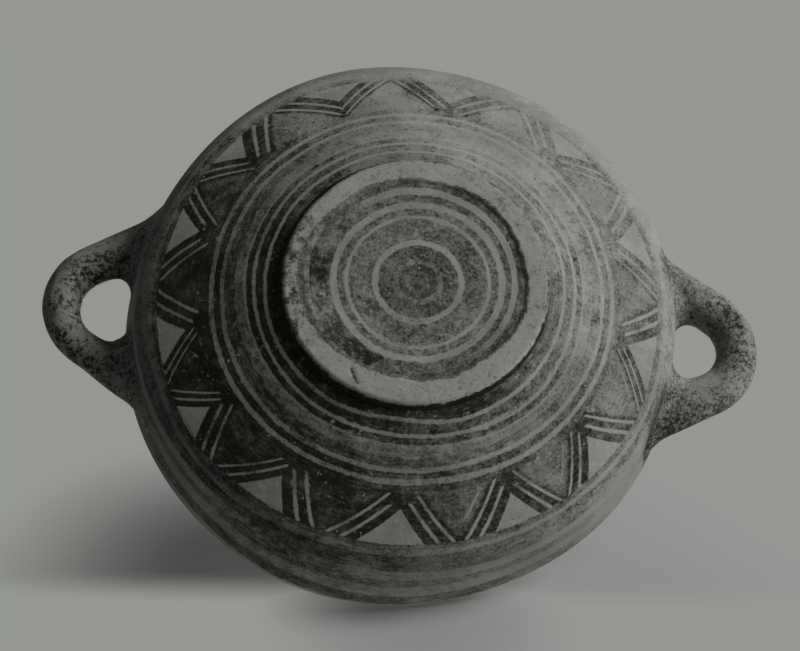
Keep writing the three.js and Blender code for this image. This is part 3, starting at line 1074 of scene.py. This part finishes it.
def loop_layout(spread, coil, bend):
    """A loop's middle line seen from above, on +X: its root on +Y, and the arc that joins its legs."""
    level = HEIGHT - HANDLE_DROP
    wall_radius = upper_radius(level)
    root_turn = math.asin(spread / 2 / wall_radius)
    root = wall_radius * np.array([math.cos(root_turn), math.sin(root_turn), 0])
    centre = np.array([wall_radius + HANDLE_REACH - coil / 2 - bend, 0, 0])
    from_centre = root - centre
    arc_end = math.atan2(from_centre[1], from_centre[0]) - math.acos(bend / np.linalg.norm(from_centre))
    lift = np.array([0, 0, level])
    leg_end = centre + bend * np.array([math.cos(arc_end), math.sin(arc_end), 0])
    return root + lift, centre + lift, arc_end, leg_end + lift


def wall_gap(points):
    """Distance out from the upper wall."""
    out = np.hypot(points[..., 0], points[..., 1]) - upper_radius(points[..., 2])
    return out * math.cos(UPPER_WALL_LEAN)


def on_wall(gap, middle, across, rise):
    """Points at one gap from the wall, set off from a middle point along the wall and up it."""
    height = middle[2] + rise
    turn = math.atan2(middle[1], middle[0]) + across / upper_radius(middle[2])
    radius = upper_radius(height) + gap / math.cos(UPPER_WALL_LEAN)
    return np.column_stack([radius * np.cos(turn), radius * np.sin(turn), height])


def half_loop(spec, side, rise, fillet_out):
    """Rings of points from the middle of a loop to its root on +Y, where a fillet rounds it into the wall."""
    radius, bend = spec["coil"] / 2, spec["bend"]
    root, centre, arc_end, leg_end = loop_layout(spec["spread"], spec["coil"], bend)
    upright = np.array([0, 0, 1])
    leg = root - leg_end
    length = bend * arc_end + np.linalg.norm(leg)
    leg_way = unit(leg)
    leg_out = np.array([-leg_way[1], leg_way[0], 0])
    leg_out = leg_out if leg_out[1] > 0 else -leg_out
    fillet = np.where(side > 0, fillet_out, ROOT_FILLET_IN) * side ** 2 + ROOT_FILLET_UP * rise ** 2
    deepest = max(fillet_out, ROOT_FILLET_IN, ROOT_FILLET_UP) + ROOT_FILLET_ROOM

    rings = []
    shares = []
    steps = math.ceil(bend * arc_end / COIL_STEP)
    for turn in arc_end * np.arange(steps) / steps:
        out = np.array([math.cos(turn), math.sin(turn), 0])
        ring = radius * (np.outer(side, out) + np.outer(rise, upright))
        rings.append(centre + bend * out + ring)
        shares.append(bend * turn / length)

    start_gap = float(wall_gap(leg_end))
    plain_rings = max(2, math.ceil((start_gap - deepest) / COIL_STEP))
    plain = np.linspace(start_gap, deepest, plain_rings, endpoint=False)
    bent = deepest * (1 - np.sin(np.linspace(0, math.pi / 2, ROOT_RINGS)))
    towards = leg_end[:2] @ leg_way[:2]
    for gap in [*plain, *bent]:
        reach = upper_radius(root[2]) + gap / math.cos(UPPER_WALL_LEAN)
        travel = -towards - math.sqrt(towards ** 2 - leg_end[:2] @ leg_end[:2] + reach ** 2)
        middle = leg_end + leg_way * travel
        turned = smooth(deepest, deepest * ROOT_TURNED, gap)

        def reach_out(far):
            square = middle + far[:, None] * (np.outer(side, leg_out) + np.outer(rise, upright))
            return (1 - turned) * square + turned * on_wall(gap, middle, far * side, far * rise)

        near, far = np.zeros(COIL_SIDES), np.full(COIL_SIDES, SEARCH_REACH * radius)
        for _ in range(SEARCH_STEPS):
            half = (near + far) / 2
            points = reach_out(half)
            away = points - leg_end
            off_line = np.linalg.norm(away - np.outer(away @ leg_way, leg_way), axis=1) - radius
            missing = np.clip(fillet - np.maximum(wall_gap(points), 0), 0, fillet)
            inside = off_line < fillet - np.sqrt(fillet ** 2 - missing ** 2)
            near = np.where(inside, half, near)
            far = np.where(inside, far, half)
        rings.append(reach_out(near))
        shares.append((bend * arc_end + travel) / length)
    rings.append(on_wall(-ROOT_SUNK, middle, near * side, near * rise))
    shares.append(1.0)
    return np.array(rings), np.array(shares)


def right_wear(along, side, _, root):
    """How far paint is rubbed off the right handle, and how flecked it is."""
    middle, half_width = RIGHT_DARK_SIDE
    dark = np.exp(-((side - middle) / half_width) ** 2) * by_place(RIGHT_DARK_RUN, along)
    rubbed = RIGHT_RUBBED - RIGHT_DARK * dark - np.where(along < 0, *RIGHT_ROOTS_KEPT) * root
    for amount, across, start in RIGHT_SIDES:
        rubbed = rubbed + amount * smooth(*across, side) * smooth(*start, along)
    return rubbed, RIGHT_FLECKED * (1 - RIGHT_ROOT_FLECKS * root)


def left_wear(along, side, rise, root):
    """The same of the left handle."""
    off_strip = (side - by_place(LEFT_STRIP_SIDE, along)) / LEFT_STRIP_WIDTH
    strip = np.exp(-off_strip ** 2) * smooth(*LEFT_STRIP_RISE, rise) * by_place(LEFT_STRIP_RUN, along)
    outer = smooth(*LEFT_OUTER_SIDE, side) * by_place(LEFT_OUTER_RUN, along)
    rubbed = by_place(LEFT_RUBBED_RUN, along) + LEFT_STRIP * strip + LEFT_OUTER * outer
    kept = np.clip(LEFT_KEPT_FLECKS / (1 - rubbed), *LEFT_FLECKS_RANGE)
    return rubbed, (LEFT_FLECKED - LEFT_ROOT_FLECKS * root) * kept


def handle_piece(name, wear, material):
    spec = HANDLES[name]
    around = np.linspace(0, 2 * math.pi, COIL_SIDES, endpoint=False)
    side, rise = np.cos(around), np.sin(around)
    half, share = half_loop(spec, side, rise, spec["fillets_out"][0])
    far_half, far_share = half_loop(spec, side, rise, spec["fillets_out"][1])
    rings = np.concatenate([far_half[:0:-1] * np.array([1, -1, 1]), half])
    along = np.concatenate([-far_share[:0:-1], share])[:, None]
    amount, where, half_width = spec["slimmer"]
    swell = ripples(spec["swells"], around, SWELL_LENGTH * along)
    swell = swell - amount * np.exp(-((along - where) / half_width) ** 2)
    free = 1 - smooth(*SWELL_FADE, np.abs(along))
    middle = rings.mean(axis=1, keepdims=True)
    rings = middle + (rings - middle) * (1 + free * swell)[:, :, None]
    cos, sin = math.cos(spec["turn"]), math.sin(spec["turn"])
    points = warp(rings.reshape(-1, 3) @ np.array([[cos, sin, 0], [-sin, cos, 0], [0, 0, 1]]))

    count = len(rings)
    faces = ring_faces(count, COIL_SIDES)[:, ::-1].tolist()
    sunk = upper_radius(HEIGHT - HANDLE_DROP) - WALL / 2
    hubs = []
    for ring, order in ((0, 1), (count - 1, -1)):
        edge = ring * COIL_SIDES + np.arange(COIL_SIDES)
        hub = points[edge].mean(axis=0)
        hub[:2] *= sunk / np.linalg.norm(hub[:2])
        number = len(points) + len(hubs)
        faces += [[int(a), int(b), number][::order] for a, b in zip(edge, np.roll(edge, -1))]
        hubs.append(hub)
    piece = make_piece(f"handle_{name}_clay", np.vstack([points, hubs]), faces, material)

    root = smooth(*HANDLE_ROOTS, np.abs(along)) + 0 * side
    rubbed, flecked = wear(along, side, rise, root)
    for attribute, values in (("rubbed", rubbed), ("flecked", flecked), ("root", root)):
        store(piece, attribute, np.concatenate([values.ravel(), np.zeros(len(hubs))]))
    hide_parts(f"handle_{name}", f"{name}_front_root_collar", f"{name}_back_root_collar")
    return piece


def stage_shader(graph, share):
    """A matt surface seen from its front only, and see-through where its share falls to 0."""
    matt = graph.add("BsdfDiffuse", (*STAGE, 1))
    clear = graph.add("BsdfTransparent")
    back = graph.add("NewGeometry").outputs["Backfacing"]
    shown = graph.times(share, graph.rest(back))
    mix = graph.add("MixShader", shown, clear.outputs[0], matt.outputs[0])
    return graph.end("OutputMaterial", mix)


def stage_piece(name, points, faces, material, shown):
    """Stage that takes shadows and lends no light or shade to the bowl."""
    piece = make_piece(name, points, faces, material)
    store(piece, "shown", shown)
    piece.visible_diffuse = False
    piece.visible_glossy = False
    piece.visible_transmission = False
    piece.visible_shadow = False


def table_matt(touch):
    graph = material_graph("table_matt")
    x, y, _ = graph.split(graph.place())
    off_x = graph.less(x, float(touch[0]))
    off_y = graph.less(y, float(touch[1]))
    off = graph.math("SQRT", graph.math("MULTIPLY_ADD", off_x, off_x, graph.times(off_y, off_y)))
    behind = graph.times(graph.step(y, *TABLE_BEHIND), graph.step(off, *TABLE_BEHIND_FADE))
    near = graph.most(graph.step(off, *TABLE_TOUCH_FADE), behind)
    edge = graph.times(graph.step(graph.math("ABSOLUTE", x), *TABLE_SIDE_FADE), near)
    return stage_shader(graph, graph.times(graph.read("shown"), edge))


def leaning_table():
    """The table under the rim: level strips that step up its slope, so only a camera below sees them."""
    normal = unit(TABLE_NORMAL)
    touch = np.array([*(-unit(normal[:2]) * RIM_RADIUS * (1 + OVALITY / 2)), HEIGHT])
    up_slope = unit(np.cross([1, 0, 0], normal))
    up_slope = up_slope if up_slope[2] > 0 else -up_slope
    near = touch[1] - up_slope[1] * TABLE_NEAR
    far = touch[1] + up_slope[1] * TABLE_FAR
    points = []
    shown = []
    for y in np.arange(near, far, -TABLE_PITCH):
        for side, edge in ((-1, 0), (1, 0), (1, -1), (-1, -1)):
            x = side * TABLE_HALF_WIDTH
            z = touch[2] - ((x - touch[0]) * normal[0] + (y - touch[1]) * normal[1]) / normal[2]
            points.append((x, y + edge * TABLE_STRIP, z))
        shown += [1 - float(smooth(*TABLE_SLOPE_FADE, (y - touch[1]) / up_slope[1]))] * 4
    faces = np.arange(len(points)).reshape(-1, 4).tolist()
    stage_piece("leaning_table", points, faces, table_matt(touch), shown)


def standing_floor():
    """The level floor under the foot, seen only from above, fading into the backdrop."""
    angles = np.linspace(0, 2 * math.pi, STAND_SIDES, endpoint=False)
    points = [(r * math.cos(a), r * math.sin(a), 0.0) for r, _ in STAND_RINGS for a in angles]
    shown = [share for _, share in STAND_RINGS for _ in angles]
    faces = ring_faces(len(STAND_RINGS), STAND_SIDES)[:, ::-1].tolist()
    graph = material_graph("floor_matt")
    stage_piece("standing_floor", points, faces, stage_shader(graph, graph.read("shown")), shown)


def backdrop():
    world = bpy.data.worlds.new("studio")
    bpy.context.scene.world = world
    graph = Graph(world)
    rays = graph.add("LightPath").outputs
    seen = graph.most(rays["Is Camera Ray"], rays["Is Glossy Ray"], rays["Is Transmission Ray"])
    shade = graph.add("Background", graph.tint(seen, AMBIENT, BACKDROP))
    graph.end("OutputWorld", shade)


def lamp(name, way, distance, size, watts):
    light = bpy.data.lights.new(name, "AREA")
    light.shape = "DISK"
    light.size = size
    light.energy = watts
    piece = bpy.data.objects.new(name, light)
    bpy.context.scene.collection.objects.link(piece)
    way = Vector(way).normalized()
    piece.location = way * distance
    piece.rotation_mode = "QUATERNION"
    piece.rotation_quaternion = way.to_track_quat("Z", "Y")
    piece.visible_camera = False


def camera():
    data = bpy.data.cameras.new("camera")
    data.lens = LENS
    data.sensor_width = SENSOR
    data.sensor_fit = "HORIZONTAL"
    data.clip_start = CLIP_START
    piece = bpy.data.objects.new("camera", data)
    bpy.context.scene.collection.objects.link(piece)
    back = Vector(CAMERA_BACK).normalized()
    right = Vector(CAMERA_UP).cross(back).normalized()
    up = back.cross(right)
    turn = Matrix((right, up, back)).transposed().to_4x4()
    piece.matrix_world = Matrix.Translation(Vector(CAMERA_AT) * MM) @ turn
    bpy.context.scene.camera = piece


camera()
backdrop()
for name, values in LAMPS.items():
    lamp(name, *values)
leaning_table()
standing_floor()
handle_material = handle_clay()
for piece in (
    bowl_body(painted_clay()),
    foot_ring(foot_clay()),
    handle_piece("right", right_wear, handle_material),
    handle_piece("left", left_wear, handle_material),
):
    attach(piece, "root")

bpy.context.scene.view_settings.view_transform = "Standard"
